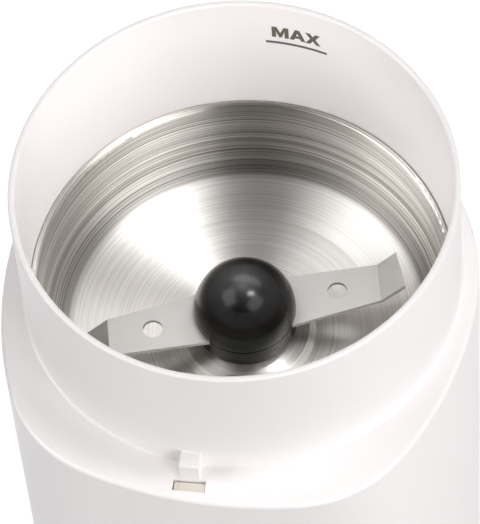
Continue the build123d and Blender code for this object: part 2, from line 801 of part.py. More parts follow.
# Motor shaft, with two flats at its drive end
with BuildPart() as motor_shaft:
    with BuildSketch(Plane.XY.offset(shaft_foot)):
        Circle(shaft_radius)
    extrude(amount=skirt_bottom - shaft_foot)
    with BuildSketch(Plane.XY.offset(skirt_bottom)):
        Circle(shaft_radius)
        Rectangle(2 * shaft_radius, 2 * shaft_flat, rotation=blade_turn, mode=Mode.INTERSECT)
    extrude(amount=shaft_top - skirt_bottom)
motor_shaft.part.label = "motor_shaft"
export_step(motor_shaft.part, "parts/motor_shaft.step")

# Armature core: slotted stack on the shaft
with BuildPart() as armature_core:
    with BuildSketch(Plane.XY.offset(stator_bottom)):
        Circle(armature_radius)
        with PolarLocations(armature_slot_reach, armature_slots):
            Circle(armature_slot_radius, mode=Mode.SUBTRACT)
            Rectangle(
                armature_radius,
                armature_slot_mouth,
                align=(Align.MIN, Align.CENTER),
                mode=Mode.SUBTRACT,
            )
        Circle(shaft_hole, mode=Mode.SUBTRACT)
    extrude(amount=stator_height)
armature_core.part.label = "armature_core"
export_step(armature_core.part, "parts/armature_core.step")

# Armature winding: bars in the slots and a bulge of end turns on each side
with BuildPart() as armature_winding:
    with BuildSketch(Plane.XY.offset(stator_bottom)):
        with PolarLocations(armature_slot_reach, armature_slots):
            Circle(armature_slot_radius - winding_gap)
    extrude(amount=stator_height)
    for level, rise in ((stator_top, winding_bulge), (stator_bottom, -winding_bulge)):
        with BuildSketch(Plane.XY.offset(level)):
            Circle(winding_radius)
            Circle(winding_inner, mode=Mode.SUBTRACT)
        extrude(amount=rise)
    fillet(armature_winding.edges().group_by(Axis.Z)[-1], radius=winding_rounding)
    fillet(armature_winding.edges().group_by(Axis.Z)[0], radius=winding_rounding)
armature_winding.part.label = "armature_winding"
export_step(armature_winding.part, "parts/armature_winding.step")

# Commutator: slit copper cylinder with a riser under the winding
with BuildPart() as commutator:
    with BuildSketch(Plane.XY.offset(commutator_bottom)):
        Circle(commutator_radius)
        with PolarLocations(commutator_radius - commutator_slit_depth, armature_slots):
            Rectangle(
                2 * commutator_slit_depth,
                commutator_slit,
                align=(Align.MIN, Align.CENTER),
                mode=Mode.SUBTRACT,
            )
    extrude(amount=commutator_length)
    with BuildSketch(Plane.XY.offset(commutator_bottom + commutator_length)):
        Circle(commutator_riser_radius)
    extrude(amount=commutator_riser)
    with BuildSketch(Plane.XY.offset(commutator_bottom)):
        Circle(shaft_hole)
    extrude(amount=commutator_length + commutator_riser, mode=Mode.SUBTRACT)
commutator.part.label = "commutator"
export_step(commutator.part, "parts/commutator.step")

# Cooling fan: disc and leaning blades above the winding
with BuildPart() as cooling_fan:
    with BuildSketch(Plane.XY.offset(fan_bottom)):
        Circle(fan_radius)
    extrude(amount=fan_disc)
    with BuildSketch(Plane.XY.offset(fan_bottom)):
        Circle(fan_hub_radius)
        with PolarLocations((fan_hub_radius + fan_radius) / 2, fan_blades):
            Rectangle(fan_radius - fan_hub_radius, fan_blade_thickness, rotation=fan_blade_lean)
        Circle(fan_radius, mode=Mode.INTERSECT)
    extrude(amount=fan_height)
    with BuildSketch(Plane.XY.offset(fan_bottom)):
        Circle(shaft_hole)
    extrude(amount=fan_height, mode=Mode.SUBTRACT)
cooling_fan.part.label = "cooling_fan"
export_step(cooling_fan.part, "parts/cooling_fan.step")

# Brush holders: brass boxes on the posts, open towards the commutator
with BuildPart() as brush_holders:
    with BuildSketch(Plane.YZ.offset(holder_near)):
        with Locations((0, brush_level)):
            Rectangle(holder_wide, holder_tall)
    extrude(amount=holder_length)
    with BuildSketch(Plane.YZ.offset(holder_near)):
        with Locations((0, brush_level)):
            Rectangle(holder_wide - 2 * holder_wall, holder_tall - 2 * holder_wall)
    extrude(amount=holder_length - holder_wall, mode=Mode.SUBTRACT)
    mirror(about=Plane.YZ)
brush_holders.part.label = "brush_holders"
export_step(brush_holders.part, "parts/brush_holders.step")

# Carbon brushes, each with a hollow face that follows the commutator
brush_face = commutator_radius + touch_gap
with BuildPart() as carbon_brushes:
    with BuildSketch(Plane.YZ.offset(commutator_radius - commutator_slit_depth)):
        with Locations((0, brush_level)):
            Rectangle(brush_width, brush_height)
    extrude(amount=brush_length + commutator_slit_depth)
    mirror(about=Plane.YZ)
    with BuildSketch(Plane.XY.offset(brush_level - brush_height)):
        Circle(brush_face)
    extrude(amount=2 * brush_height, mode=Mode.SUBTRACT)
carbon_brushes.part.label = "carbon_brushes"
export_step(carbon_brushes.part, "parts/carbon_brushes.step")

# Brush springs, between each brush and the end of its holder
brush_back = commutator_radius + brush_length
spring_room = holder_near + holder_length - holder_wall - brush_back - 2 * seat_gap
brush_seat = Plane(origin=(brush_back + seat_gap, 0, brush_level), x_dir=(0, 1, 0), z_dir=(1, 0, 0))
with BuildPart() as brush_springs:
    add(coil_spring(brush_seat, brush_coil_radius, brush_wire_radius, spring_room, brush_coil_turns))
    mirror(about=Plane.YZ)
brush_springs.part.label = "brush_springs"
export_step(brush_springs.part, "parts/brush_springs.step")

blade_plane = Plane(origin=(0, 0, blade_height), z_dir=(0, 0, 1)).rotated((0, 0, blade_turn))


def blade_plan(grow):
    """Plan of the blade, made wider all round: two tapered arms that mirror each other by a half turn."""
    with BuildSketch() as plan:
        for turn in (0, 180):
            with Locations(Location((0, 0, 0), (0, 0, turn))):
                Polygon(
                    (0, blade_back + grow),
                    (0, -blade_root - grow),
                    (bend_reach, -blade_end_edge - grow),
                    (tip_reach + grow, -blade_end_edge - grow),
                    (tip_reach - tip_cutback + grow, blade_end_back + grow),
                    align=None,
                )
    return plan.sketch


# Blade seat: black skirt on the shaft, with a groove across its top that holds the blade
with BuildPart() as blade_seat:
    with BuildSketch(Plane.XY.offset(skirt_bottom)):
        Circle(hub_radius)
        Circle(shaft_hole, mode=Mode.SUBTRACT)
    extrude(amount=blade_top - skirt_bottom)
    with BuildSketch(blade_plane.offset(-blade_thickness / 2)):
        add(blade_plan(seat_gap))
    extrude(amount=blade_thickness, mode=Mode.SUBTRACT)
blade_seat.part.label = "blade_seat"
export_step(blade_seat.part, "parts/blade_seat.step")

# Blade: bent strip, cut to its plan
strip_plane = Plane(origin=(0, 0, blade_height), x_dir=blade_plane.x_dir, z_dir=-blade_plane.y_dir)
tip_run = tip_reach - bend_reach + overrun
tip_lift = tip_run * sin(radians(tip_angle)) / cos(radians(tip_angle))
bend_shift = blade_thickness / 2 * sin(radians(tip_angle / 2)) / cos(radians(tip_angle / 2))
half_sheet = blade_thickness / 2
with BuildSketch() as drive_hole:
    Circle(shaft_hole)
    Rectangle(2 * shaft_hole, 2 * (shaft_flat + seat_gap), mode=Mode.INTERSECT)
with BuildPart() as blade:
    with BuildSketch(strip_plane):
        with BuildLine():
            Polyline(
                (-bend_reach - bend_shift, half_sheet),
                (bend_reach - bend_shift, half_sheet),
                (bend_reach + tip_run - bend_shift, half_sheet + tip_lift),
                (bend_reach + tip_run + bend_shift, tip_lift - half_sheet),
                (bend_reach + bend_shift, -half_sheet),
                (bend_shift - bend_reach, -half_sheet),
                (bend_shift - bend_reach - tip_run, -half_sheet - tip_lift),
                (-bend_reach - tip_run - bend_shift, half_sheet - tip_lift),
                close=True,
            )
        make_face()
    extrude(amount=blade_end_back, both=True)
    with BuildSketch(blade_plane.offset(-tip_reach)):
        add(blade_plan(0))
        with Locations((blade_hole_reach, blade_hole_side), (-blade_hole_reach, -blade_hole_side)):
            Circle(blade_hole_radius, mode=Mode.SUBTRACT)
        add(drive_hole.sketch, mode=Mode.SUBTRACT)
    extrude(amount=2 * tip_reach, mode=Mode.INTERSECT)
blade.part.label = "blade"
export_step(blade.part, "parts/blade.step")

# Blade hub cap: black dome nut on the end of the shaft
with BuildPart() as blade_hub_cap:
    with BuildSketch(Plane.XZ):
        with BuildLine():
            Polyline((0, cap_top), (0, blade_top), (hub_radius, blade_top), (hub_radius, dome_height))
            CenterArc((0, dome_height), hub_radius, 0, 90)
        make_face()
    revolve(axis=Axis.Z)
    chamfer(blade_hub_cap.edges().group_by(Axis.Z)[0], length=cap_edge)
    with BuildSketch(Plane.XY.offset(blade_top)):
        Circle(shaft_hole)
    extrude(amount=shaft_top + seat_gap - blade_top, mode=Mode.SUBTRACT)
blade_hub_cap.part.label = "blade_hub_cap"
export_step(blade_hub_cap.part, "parts/blade_hub_cap.step")

# Interlock plunger: head in the slot, shoulder under the ledge, spring arm, and a nose on its foot
plunger_front = slot_reach + slot_depth / 2 - slide_gap
plunger_depth = slot_depth - 2 * slide_gap
plunger_half = slot_width / 2 - slide_gap
plunger_top = ledge_height - plunger_drop
shoulder_top = ledge_underside - slide_gap
with BuildPart() as interlock_plunger:
    with BuildSketch(front_plane(plunger_front - plunger_depth, 0)):
        with Locations((0, plunger_nose)):
            Rectangle(2 * plunger_half, shoulder_top - plunger_nose, align=(Align.CENTER, Align.MIN))
        with Locations((0, shoulder_top)):
            Rectangle(2 * shoulder_half, shoulder_height, align=(Align.CENTER, Align.MAX))
    extrude(amount=plunger_depth)
    with BuildSketch(Plane.XY.offset(shoulder_top)):
        with Locations(slot_place):
            Rectangle(2 * plunger_half, plunger_depth)
    extrude(amount=plunger_top - shoulder_top)
    with BuildSketch(front_plane(arm_inner, 0)):
        with Locations((0, arm_top)):
            Rectangle(arm_end, arm_height, align=(Align.MAX, Align.MAX))
    extrude(amount=slot_reach - arm_inner)
    with BuildSketch(front_plane(plunger_foot_reach, 0)):
        with Locations((0, plunger_nose)):
            Circle(nose_radius)
            Rectangle(2 * plunger_half, plunger_foot_height, align=(Align.CENTER, Align.MIN))
    extrude(amount=plunger_front - plunger_foot_reach)
    with BuildSketch(Plane.XY.offset(arm_bottom - peg_length)):
        with Locations((-spring_side, -spring_reach)):
            Circle(peg_radius)
    extrude(amount=peg_length)
interlock_plunger.part.label = "interlock_plunger"
export_step(interlock_plunger.part, "parts/interlock_plunger.step")

# Plunger spring, between the bracket's table and the plunger's arm
plunger_spring_seat = Plane(origin=(-spring_side, -spring_reach, table_top + seat_gap))
with BuildPart() as plunger_spring:
    add(
        coil_spring(
            plunger_spring_seat,
            plunger_coil_radius,
            plunger_wire_radius,
            arm_bottom - table_top - 2 * seat_gap,
            plunger_coil_turns,
        )
    )
plunger_spring.part.label = "plunger_spring"
export_step(plunger_spring.part, "parts/plunger_spring.step")

# Push button: rounded oval with a finger dish, a stop flange, a spring peg and a nose
with BuildPart() as push_button:
    with BuildSketch(front_plane(flange_front, button_height)):
        SlotOverall(button_width, button_tall)
    extrude(amount=front_reach + button_proud - flange_front)
    fillet(push_button.edges().group_by(Axis.Y)[0], radius=button_rounding)
    with Locations((0, dish_depth - dish_radius - front_reach - button_proud, button_height)):
        Sphere(dish_radius, mode=Mode.SUBTRACT)
    with BuildSketch(front_plane(flange_back, button_height)):
        SlotOverall(button_width + 2 * flange_margin, button_tall + 2 * flange_margin)
    extrude(amount=flange_thickness)
    with BuildSketch(Plane.XY.offset(button_height - lever_width / 2)):
        with Locations((0, -button_nose)):
            Circle(nose_radius)
        with Locations((0, -flange_back)):
            Rectangle(2 * nose_radius, flange_back - button_nose, align=(Align.CENTER, Align.MIN))
    extrude(amount=lever_width)
    with BuildSketch(front_plane(flange_back - button_peg, button_height)):
        with Locations((-spring_side, 0)):
            Circle(peg_radius)
    extrude(amount=button_peg)
push_button.part.label = "push_button"
export_step(push_button.part, "parts/push_button.step")

# Button spring, between the bracket and the button's flange
button_spring_seat = Plane(
    origin=(-spring_side, -bracket_reach - seat_gap, button_height), x_dir=(1, 0, 0), z_dir=(0, -1, 0)
)
with BuildPart() as button_spring:
    add(
        coil_spring(
            button_spring_seat,
            button_coil_radius,
            button_wire_radius,
            flange_back - bracket_reach - 2 * seat_gap,
            button_coil_turns,
        )
    )
button_spring.part.label = "button_spring"
export_step(button_spring.part, "parts/button_spring.step")


def switch_body(seat):
    """Snap switch on a plane whose x runs along it to the pivot and whose y is the way its pin points."""
    with BuildPart() as body:
        with BuildSketch(seat):
            with Locations((-switch_overhang, 0)):
                Rectangle(switch_length, switch_tall, align=(Align.MIN, Align.MAX))
            with Locations((contact_arm, 0)):
                Rectangle(2 * ear_half, ear_height, align=(Align.CENTER, Align.MIN))
            with Locations(
                (locating_first, -locating_depth), (locating_first + locating_pitch, -locating_depth)
            ):
                Circle(locating_radius, mode=Mode.SUBTRACT)
        extrude(amount=switch_thickness / 2, both=True)
        with BuildSketch(seat):
            with Locations((contact_arm, 0)):
                Rectangle(2 * ear_half, ear_height, align=(Align.CENTER, Align.MIN))
        extrude(amount=lever_width / 2 + ear_gap, both=True, mode=Mode.SUBTRACT)
        with BuildSketch(seat):
            for place in range(terminal_count):
                with Locations((terminal_first + place * terminal_pitch, -switch_tall)):
                    Rectangle(terminal_thickness, terminal_length, align=(Align.CENTER, Align.MAX))
        extrude(amount=terminal_width / 2, both=True)
        with BuildSketch(Plane(seat.origin, x_dir=seat.x_dir, z_dir=-seat.y_dir)):
            with Locations((contact_arm - pin_arm, 0)):
                Circle(pin_radius + pin_gap)
        extrude(amount=pin_length, mode=Mode.SUBTRACT)
    return body.part


def switch_lever(seat):
    """Spring strip that leans away from the switch, with a round barrel between its ears."""
    with BuildPart() as lever:
        with BuildSketch(seat):
            with Locations((contact_arm, pivot_rise)):
                Circle(barrel_radius)
            with Locations(Location((contact_arm, pivot_rise, 0), (0, 0, 180 - lever_slope))):
                Rectangle(contact_arm + lever_tail, lever_thickness, align=(Align.MIN, Align.CENTER))
        extrude(amount=lever_width / 2, both=True)
    return lever.part


def switch_pin(seat):
    """Small round pin that stands out of the switch under its lever."""
    with BuildPart() as pin:
        with BuildSketch(Plane(seat.origin + seat.y_dir * pin_rise, x_dir=seat.x_dir, z_dir=-seat.y_dir)):
            with Locations((contact_arm - pin_arm, 0)):
                Circle(pin_radius)
        extrude(amount=pin_length)
    return pin.part


# Safety switch under the plunger's nose
safety_seat = front_plane(bracket_reach + switch_thickness / 2, safety_top)
with BuildPart() as safety_switch:
    add(switch_body(safety_seat))
safety_switch.part.label = "safety_switch"
export_step(safety_switch.part, "parts/safety_switch.step")

with BuildPart() as safety_lever:
    add(switch_lever(safety_seat))
safety_lever.part.label = "safety_lever"
export_step(safety_lever.part, "parts/safety_lever.step")

with BuildPart() as safety_pin:
    add(switch_pin(safety_seat))
safety_pin.part.label = "safety_pin"
export_step(safety_pin.part, "parts/safety_pin.step")

# Power switch behind the push button's nose
power_seat = Plane(origin=(0, -power_reach, button_height), x_dir=(1, 0, 0), z_dir=(0, 0, -1))
with BuildPart() as power_switch:
    add(switch_body(power_seat))
power_switch.part.label = "power_switch"
export_step(power_switch.part, "parts/power_switch.step")

with BuildPart() as power_lever:
    add(switch_lever(power_seat))
power_lever.part.label = "power_lever"
export_step(power_lever.part, "parts/power_lever.step")

with BuildPart() as power_pin:
    add(switch_pin(power_seat))
power_pin.part.label = "power_pin"
export_step(power_pin.part, "parts/power_pin.step")

# Switch bracket: upright plate under the carrier's front, with a shelf, a spring table and locating pins
shelf_top = button_height - switch_thickness / 2
with BuildPart() as switch_bracket:
    with BuildSketch(front_plane(bracket_back, 0)):
        with Locations((-bracket_left, shelf_top - bracket_foot)):
            Rectangle(
                bracket_left + bracket_right,
                safety_top - shelf_top + bracket_foot,
                align=(Align.MIN, Align.MIN),
            )
        with Locations((-bracket_left, safety_top)):
            Rectangle(bracket_left - tower_end, tower_rise, align=(Align.MIN, Align.MIN))
        with Locations((-switch_overhang - window_gap, shelf_top)):
            Rectangle(
                switch_length + 2 * window_gap,
                switch_thickness + window_gap,
                align=(Align.MIN, Align.MIN),
                mode=Mode.SUBTRACT,
            )
    extrude(amount=bracket_thickness)
    # Tab under the carrier
    with BuildSketch(Plane.XY.offset(carrier_bottom)):
        with Locations((-bracket_left, -bracket_reach)):
            Rectangle(bracket_left + bracket_right, bracket_reach - tab_reach, align=(Align.MIN, Align.MIN))
        with Locations(*bracket_screw_places):
            Circle(screw_hole_radius, mode=Mode.SUBTRACT)
    extrude(amount=-carrier_thickness)
    # Shelf of the power switch
    with BuildSketch(Plane.XY.offset(shelf_top)):
        with Locations((-switch_overhang - window_gap, -bracket_reach)):
            Rectangle(
                switch_length + 2 * window_gap,
                bracket_reach - power_reach + switch_tall,
                align=(Align.MIN, Align.MIN),
            )
    extrude(amount=-bracket_thickness)
    # Table of the plunger's spring
    with BuildSketch(Plane.XY.offset(table_top)):
        with Locations((-spring_side, -bracket_back)):
            Rectangle(2 * table_half, table_reach - bracket_back, align=(Align.CENTER, Align.MAX))
    extrude(amount=-table_thickness)
    with BuildSketch(Plane.XY.offset(table_top)):
        with Locations((-spring_side, -spring_reach)):
            Circle(peg_radius)
    extrude(amount=peg_length)
    # Peg of the button's spring and locating pins of both switches
    with BuildSketch(front_plane(bracket_reach, button_height)):
        with Locations((-spring_side, 0)):
            Circle(peg_radius)
    extrude(amount=button_peg)
    with BuildSketch(front_plane(bracket_reach, safety_top - locating_depth)):
        with Locations((locating_first, 0), (locating_first + locating_pitch, 0)):
            Circle(locating_radius - seat_gap)
    extrude(amount=switch_thickness)
    with BuildSketch(Plane.XY.offset(shelf_top)):
        with Locations(
            (locating_first, locating_depth - power_reach),
            (locating_first + locating_pitch, locating_depth - power_reach),
        ):
            Circle(locating_radius - seat_gap)
    extrude(amount=switch_thickness)
switch_bracket.part.label = "switch_bracket"
export_step(switch_bracket.part, "parts/switch_bracket.step")

# Bracket screws, driven up into the carrier
with BuildPart() as bracket_screws:
    with BuildSketch(Plane.XY.offset(carrier_bottom - carrier_thickness - screw_head_height)):
        with Locations(*bracket_screw_places):
            Circle(screw_head_radius)
    extrude(amount=screw_head_height)
    with BuildSketch(Plane.XY.offset(carrier_bottom - carrier_thickness)):
        with Locations(*bracket_screw_places):
            Circle(screw_radius)
    extrude(amount=2 * carrier_thickness)
bracket_screws.part.label = "bracket_screws"
export_step(bracket_screws.part, "parts/bracket_screws.step")

# Base cover: plate with a spigot, screw pillars, vents, foot sockets and a clip for the capacitor
capacitor_place = (0, rear_radius - capacitor_inset)
with BuildPart() as base_cover:
    with BuildSketch(Plane.XY.offset(foot_stand)):
        add(body_outline(0))
    extrude(amount=cover_thickness)
    fillet(base_cover.edges().group_by(Axis.Z)[0], radius=cover_rounding)
    with BuildSketch(Plane.XY.offset(shell_foot)):
        add(body_outline(shell_wall + spigot_gap))
        add(body_outline(shell_wall + spigot_gap + spigot_wall), mode=Mode.SUBTRACT)
    extrude(amount=spigot_height)
    with BuildSketch(Plane.XY.offset(shell_foot)):
        with Locations(*boss_places):
            Circle(pillar_radius)
        add(body_outline(shell_wall + spigot_gap), mode=Mode.INTERSECT)
    extrude(amount=spigot_height + base_boss_gap)
    with BuildSketch(Plane.XY.offset(shell_foot)):
        with Locations(capacitor_place):
            Rectangle(capacitor_width + 2 * (clip_wall + seat_gap), capacitor_depth * root_share)
            Rectangle(capacitor_width + 2 * seat_gap, capacitor_depth, mode=Mode.SUBTRACT)
    extrude(amount=clip_height)
    with BuildSketch(Plane.XY.offset(foot_stand)):
        with GridLocations(0, vent_pitch, 1, vent_count):
            SlotOverall(vent_length, vent_width)
        with Locations(*boss_places):
            Circle(screw_hole_radius)
    extrude(amount=cover_thickness + spigot_height + base_boss_gap, mode=Mode.SUBTRACT)
    with BuildSketch(Plane.XY.offset(foot_stand)):
        with Locations(*boss_places):
            Circle(head_recess_radius)
    extrude(amount=head_recess, mode=Mode.SUBTRACT)
    with BuildSketch(Plane.XY.offset(foot_stand)):
        with Locations(*foot_places):
            Circle(foot_radius + seat_gap)
    extrude(amount=foot_socket, mode=Mode.SUBTRACT)
base_cover.part.label = "base_cover"
export_step(base_cover.part, "parts/base_cover.step")

# Base screws, driven up into the shell's bosses
with BuildPart() as base_screws:
    with BuildSketch(Plane.XY.offset(foot_stand + head_recess - screw_head_height)):
        with Locations(*boss_places):
            Circle(screw_head_radius)
    extrude(amount=screw_head_height)
    with BuildSketch(Plane.XY.offset(foot_stand + head_recess)):
        with Locations(*boss_places):
            Circle(screw_radius)
    extrude(amount=boss_foot + base_boss_height - 2 * pilot_wall - foot_stand - head_recess)
base_screws.part.label = "base_screws"
export_step(base_screws.part, "parts/base_screws.step")

# Rubber feet in the cover's sockets
with BuildPart() as rubber_feet:
    with BuildSketch():
        with Locations(*foot_places):
            Circle(foot_radius)
    extrude(amount=foot_stand + foot_socket)
    fillet(rubber_feet.edges().group_by(Axis.Z)[0], radius=foot_rounding)
rubber_feet.part.label = "rubber_feet"
export_step(rubber_feet.part, "parts/rubber_feet.step")

# Cord inlet bush: collar that follows the rear wall, neck through it and flange behind it
flange_seat = sqrt((rear_radius - shell_wall) ** 2 - inlet_flange**2)
with BuildPart() as cord_inlet_bush:
    with BuildSketch(Plane.XZ.offset(-inlet_reach)):
        with Locations((0, inlet_height)):
            Circle(inlet_tip)
    with BuildSketch(Plane.XZ.offset(-rear_radius + shell_wall)):
        with Locations((0, inlet_height)):
            Circle(inlet_collar)
    loft()
    with BuildSketch(Plane.XY.offset(inlet_height - inlet_collar - overrun)):
        Circle(rear_radius + seat_gap)
    extrude(amount=2 * (inlet_collar + overrun), mode=Mode.SUBTRACT)
    with BuildSketch(Plane.XZ.offset(-rear_radius - overrun)):
        with Locations((0, inlet_height)):
            Circle(inlet_neck)
    extrude(amount=rear_radius + overrun - flange_seat + seat_gap)
    with BuildSketch(Plane.XZ.offset(-flange_seat + seat_gap)):
        with Locations((0, inlet_height)):
            Circle(inlet_flange)
    extrude(amount=inlet_flange_thickness)
    with BuildSketch(Plane.XZ.offset(-inlet_reach - overrun)):
        with Locations((0, inlet_height)):
            Circle(inlet_bore)
    extrude(amount=inlet_reach, mode=Mode.SUBTRACT)
cord_inlet_bush.part.label = "cord_inlet_bush"
export_step(cord_inlet_bush.part, "parts/cord_inlet_bush.step")

# Suppression capacitor, upright in the base cover's clip
with BuildPart() as suppression_capacitor:
    with BuildSketch(Plane.XY.offset(shell_foot)):
        with Locations(capacitor_place):
            Rectangle(capacitor_width, capacitor_depth)
    extrude(amount=capacitor_height)
    fillet(suppression_capacitor.edges().group_by(Axis.Z)[-1], radius=capacitor_rounding)
suppression_capacitor.part.label = "suppression_capacitor"
export_step(suppression_capacitor.part, "parts/suppression_capacitor.step")
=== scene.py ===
"""Coffee grinder: finishes of every piece, the fill mark, the springs of the plunger and the button, and a
plain studio.

The camera stands where the photograph was taken from.
"""
import json
import math

import bpy
import numpy as np
from mathutils import Matrix, Vector


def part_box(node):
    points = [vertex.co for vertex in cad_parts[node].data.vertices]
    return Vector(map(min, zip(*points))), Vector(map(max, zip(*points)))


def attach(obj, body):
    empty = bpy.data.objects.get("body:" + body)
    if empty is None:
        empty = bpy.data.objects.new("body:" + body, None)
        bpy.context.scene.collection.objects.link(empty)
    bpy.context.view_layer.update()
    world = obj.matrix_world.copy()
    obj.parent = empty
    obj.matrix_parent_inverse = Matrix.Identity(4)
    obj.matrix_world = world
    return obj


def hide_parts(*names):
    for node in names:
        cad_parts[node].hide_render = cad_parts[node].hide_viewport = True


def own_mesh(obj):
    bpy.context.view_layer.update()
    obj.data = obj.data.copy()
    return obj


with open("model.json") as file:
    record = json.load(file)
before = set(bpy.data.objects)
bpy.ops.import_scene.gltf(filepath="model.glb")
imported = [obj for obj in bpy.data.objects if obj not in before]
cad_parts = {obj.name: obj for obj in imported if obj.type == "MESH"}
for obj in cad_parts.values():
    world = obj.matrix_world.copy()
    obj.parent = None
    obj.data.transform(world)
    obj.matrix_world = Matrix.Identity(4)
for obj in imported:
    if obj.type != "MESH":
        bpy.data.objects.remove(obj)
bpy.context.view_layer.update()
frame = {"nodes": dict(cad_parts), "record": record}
nodes = frame["nodes"]
mm = 0.001

rim_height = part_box("housing_shell")[1].z

# Camera: where the photograph was taken from
camera_azimuth = math.radians(16.7)  # to the right of the front
camera_elevation = math.radians(56.98)
camera_distance = 0.74  # to the middle of the rim
camera_roll = math.radians(-5.29)
aim_right = math.radians(-0.01)  # from the middle of the rim to the middle of the picture
aim_up = math.radians(-1.06)
camera_lens = 287.2  # millimetres, on Blender's 36 mm sensor
clip_near, clip_far = 0.05, 20.0

# Studio
floor_radius, floor_sides = 3.0, 64
floor_gap = 0.05 * mm  # under the feet
floor_white = (0.35, 0.35, 0.35, 1.0)
floor_glow = 0.85  # added for what the camera sees, so the floor reads as white paper
floor_mirror = 0.65  # the same for gloss and metal
world_light = 0.2  # from all round
room_bright, room_dark = 0.68, 0.05  # surroundings in gloss and metal, and their unlit side
room_dark_side = (0.157, -0.522, 0.839)  # middle of the unlit side, to the front and above
room_dark_edge, room_dark_core = 0.6, 0.95  # cosines to that middle where the dark begins and is full
lamp_distance = 1.2  # of the softboxes on stands
aim_height = 0.1  # what the softboxes face
collar_lamp_height = 0.111  # in the mouth of the bowl
collar_lamp_radius = 1.0 * mm
collar_lamp_power = 0.012

# Finishes
noise_low, noise_high = 0.25, 0.75  # marks that most of a noise lies within
plastic_change, worked_change = 0.1, 0.15  # of the roughness, as a share of it, to either side
line_change, patch_change = 0.2, 0.15  # the same for turned lines and the slow change round them
turned_streak = 3.0  # how fast turned lines change round the axis
patch_scale, patch_streak = 260.0, 1.6  # of the slow change: across the lines, and round the axis
axis_radius = 1e-6  # keeps the angle defined on the axis
plastic_ior = 1.5
mix_first, mix_second, mix_result = 6, 7, 2  # colour sockets of the Mix node

# Bowl's steel; each pair of tints is for dark and light lines, the wall's darker as painted shade
bowl_edge = 91.7 * mm  # where the floor goes over to the wall
edge_blend = 1.5 * mm
foot_shade_top = 98.0 * mm  # below this the wall's tint darkens towards its foot, painted shade
lip_foot = 108.2 * mm  # where the wall goes over to the lip
lip_blend = 0.3 * mm
bowl_pitch = 0.22 * mm  # of the brushed lines
bowl_streak = 0.5
bowl_relief, lip_relief = 0.25, 0.02
bowl_smooth, bowl_rough = 0.40, 0.48  # roughness of the lines
lip_polish = 0.08  # taken off that roughness on the lip
bowl_anisotropy, bowl_anisotropy_turn = 0.98, 0.25
floor_tints = (0.72, 0.70, 0.67), (0.97, 0.955, 0.935)
# the wall's tints are darker than the floor's: painted shade on real brushed lines
wall_shade_tints = (0.22, 0.195, 0.165), (0.88, 0.855, 0.82)
foot_shade_tints = (0.10, 0.088, 0.074), (0.40, 0.385, 0.365)  # at the wall's foot, darker still: painted shade

# Springs of the plunger and the button
spring_wire = 0.22 * mm  # radius
coil_steps, wire_sides = 24, 10  # steps per turn, and sides of the wire
plunger_stroke, plunger_turns = 3.0 * mm, 5
button_stroke, button_turns = 3.0 * mm, 3

# Fill mark on the inside of the collar
collar_bore = 39.0 * mm
mark_angle = math.radians(85.7)  # at the back
mark_print = 0.05 * mm  # how far the print stands out of the wall, and reaches into it
mark_line_steps = 32
mark_line_height = 128.8 * mm
mark_line_length = 11.7 * mm
mark_line_width = 0.65 * mm
mark_letters_height = 130.5 * mm
mark_letters_width = 9.3 * mm
mark_letters_tall = 3.2 * mm

# Letters of the word, as outlines one unit tall; the second letter is drawn in two halves round its hole
letter_outlines = [
    [(0, 0), (0, 1), (0.33, 1), (0.575, 0.44), (0.82, 1), (1.15, 1), (1.15, 0), (0.87, 0), (0.87, 0.60),
     (0.66, 0.02), (0.49, 0.02), (0.28, 0.60), (0.28, 0)],
    [(1.21, 0), (1.61, 1), (1.76, 1), (1.76, 0.70), (1.66, 0.42), (1.76, 0.42), (1.76, 0.20), (1.59, 0.20),
     (1.52, 0)],
    [(1.76, 1), (1.91, 1), (2.31, 0), (2.00, 0), (1.93, 0.20), (1.76, 0.20), (1.76, 0.42), (1.86, 0.42),
     (1.76, 0.70)],
    [(2.31, 0), (2.67, 0.51), (2.33, 1), (2.66, 1), (2.85, 0.70), (3.04, 1), (3.37, 1), (3.03, 0.51),
     (3.39, 0), (3.06, 0), (2.85, 0.32), (2.64, 0)],
]


def new_tree(name):
    """A fresh material, its node tree and its Principled shader."""
    material = bpy.data.materials.new(name)
    material.use_nodes = True
    tree = material.node_tree
    shader = next(node for node in tree.nodes if node.type == "BSDF_PRINCIPLED")
    return material, tree, shader


def put(tree, kind, **settings):
    """Adds one node and sets its properties, or its sockets where a name is a socket's."""
    node = tree.nodes.new(kind)
    for key, value in settings.items():
        if hasattr(node, key):
            setattr(node, key, value)
        else:
            node.inputs[key.replace("_", " ")].default_value = value
    return node


def link(tree, source, target):
    """Joins an output socket to an input socket."""
    tree.links.new(source, target)


def math_node(tree, operation, first, second=None):
    """One Math node; each operand is a number or an output socket. Returns its output."""
    node = tree.nodes.new("ShaderNodeMath")
    node.operation = operation
    for socket, operand in zip(node.inputs, (first, second)):
        if operand is None:
            continue
        if isinstance(operand, (int, float)):
            socket.default_value = operand
        else:
            tree.links.new(operand, socket)
    return node.outputs[0]


def new_group(name, inputs, outputs):
    """An empty shader node group with float inputs {name: default} and outputs {name: socket type}."""
    group = bpy.data.node_groups.new(name, "ShaderNodeTree")
    for key, value in inputs.items():
        socket = group.interface.new_socket(key, in_out="INPUT", socket_type="NodeSocketFloat")
        socket.default_value = value
    for key, kind in outputs.items():
        group.interface.new_socket(key, in_out="OUTPUT", socket_type=kind)
    return group, group.nodes.new("NodeGroupInput"), group.nodes.new("NodeGroupOutput")


